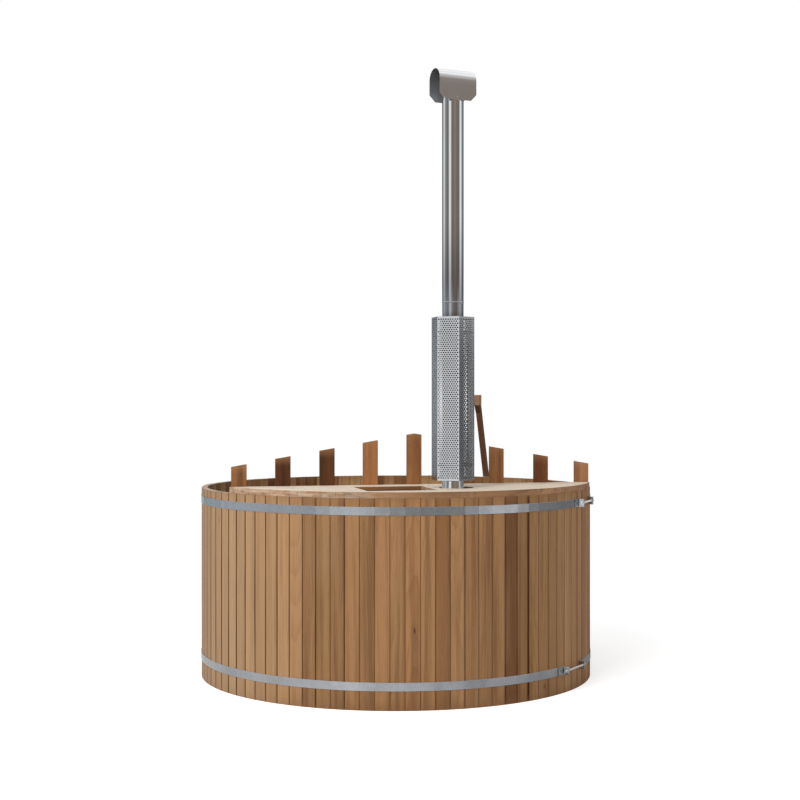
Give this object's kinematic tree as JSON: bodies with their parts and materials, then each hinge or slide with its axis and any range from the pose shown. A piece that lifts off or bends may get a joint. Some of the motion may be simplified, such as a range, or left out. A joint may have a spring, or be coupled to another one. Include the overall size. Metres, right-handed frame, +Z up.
{
  "type": "wood-fired hot tub",
  "caption": "Round wooden hot tub of upright staves held by two screw-clamped hoops, with a fenced-off inside stove, front cover with hatch, flue, heat guard and entry steps.",
  "frame": {"origin": "centre of the tub wall on the ground, on the underside of the middle floor joist", "axes": "+Z up along the tub's axis; -Y towards the round front of the cover; +X along the fence, to the right when seen from the front"},
  "size_m": [2.0046, 2.2375, 2.964],
  "materials": {
    "stave_wood": "oiled softwood, fine sawn",
    "slat_wood": "planed, uneven tone from board to board",
    "cover_wood": "planed, pale",
    "inner_wood": "planed",
    "grip_wood": "planed, end grain at the ends",
    "steps_wood": "dark stained",
    "galvanized_band": "galvanized, dull",
    "bright_fastener": "zinc plated",
    "polished_flue": "polished stainless",
    "sheet_steel": "stainless sheet, satin",
    "dark_steel": "heat-blackened",
    "stove_aluminium": "welded sheet, dull",
    "brass": "cast, dull",
    "lever_paint": "dipped red"
  },
  "bodies": {
    "tub": {"staves_01": "stave_wood", "staves_02": "stave_wood", "staves_03": "stave_wood", "staves_04": "stave_wood", "staves_05": "stave_wood", "staves_06": "stave_wood", "staves_07": "stave_wood", "staves_08": "stave_wood", "staves_09": "stave_wood", "staves_10": "stave_wood", "staves_11": "stave_wood", "staves_12": "stave_wood", "staves_13": "stave_wood", "floor_boards": "inner_wood", "floor_joists": "inner_wood", "hoop_bottom": "galvanized_band", "hoop_top": "galvanized_band", "clamp_lugs_bottom": "galvanized_band", "clamp_lugs_top": "galvanized_band", "clamp_rod_bottom": "bright_fastener", "clamp_rod_top": "bright_fastener", "clamp_nuts": "bright_fastener", "fence_slat_1": "slat_wood", "fence_slat_2": "slat_wood", "fence_slat_3": "slat_wood", "fence_slat_4": "slat_wood", "fence_slat_5": "slat_wood", "fence_slat_6": "slat_wood", "fence_slat_7": "slat_wood", "fence_slat_8": "slat_wood", "fence_slat_9": "slat_wood", "fence_rail_upper": "inner_wood", "fence_rail_lower": "inner_wood", "cover_boards": "cover_wood", "cover_battens": "inner_wood", "cover_screws": "bright_fastener", "bench_boards": "inner_wood", "bench_legs": "inner_wood", "stove_body": "stove_aluminium", "stove_feet": "stove_aluminium", "stove_air_pipe": "stove_aluminium", "stove_hinge_pins": "dark_steel", "flue_lower": "polished_flue", "heat_guard": "sheet_steel", "guard_straps": "dark_steel", "guard_screws": "bright_fastener", "drain_pipe": "brass", "drain_nut": "brass", "drain_valve_body": "brass"},
    "fuel_door": {"stove_door": "dark_steel"},
    "air_damper": {"stove_damper": "dark_steel"},
    "drain_lever": {"drain_valve_lever": "lever_paint"},
    "flue_top": {"flue_upper": "polished_flue", "cowl": "sheet_steel", "cowl_rivets": "bright_fastener"},
    "entry_steps": {"steps_long_post": "steps_wood", "steps_short_post": "steps_wood", "steps_treads": "steps_wood", "steps_grip": "grip_wood"}
  },
  "joints": [
    {"name": "fuel_door_hinge", "type": "hinge", "parent": "tub", "child": "fuel_door", "pos_m": [-0.322, -0.705, 0.914], "axis": [0, -1, 0], "range_deg": [0, 95]},
    {"name": "air_damper_turn", "type": "hinge", "parent": "tub", "child": "air_damper", "pos_m": [-0.041, -0.596, 0.92], "axis": [0, 1, 0], "range_deg": [0, 90]},
    {"name": "drain_lever_turn", "type": "hinge", "parent": "tub", "child": "drain_lever", "pos_m": [-0.61836, 0.84043, 0.165], "axis": [0, 0, 1], "range_deg": [-90, 0]},
    {"name": "flue_top_lift", "type": "slide", "parent": "tub", "child": "flue_top", "axis": [0, 0, 1], "range_m": [0, 0.25]},
    {"name": "entry_steps_pull", "type": "slide", "parent": "tub", "child": "entry_steps", "axis": [0.5678, 0.8231, 0], "range_m": [0, 0.5]}
  ]
}
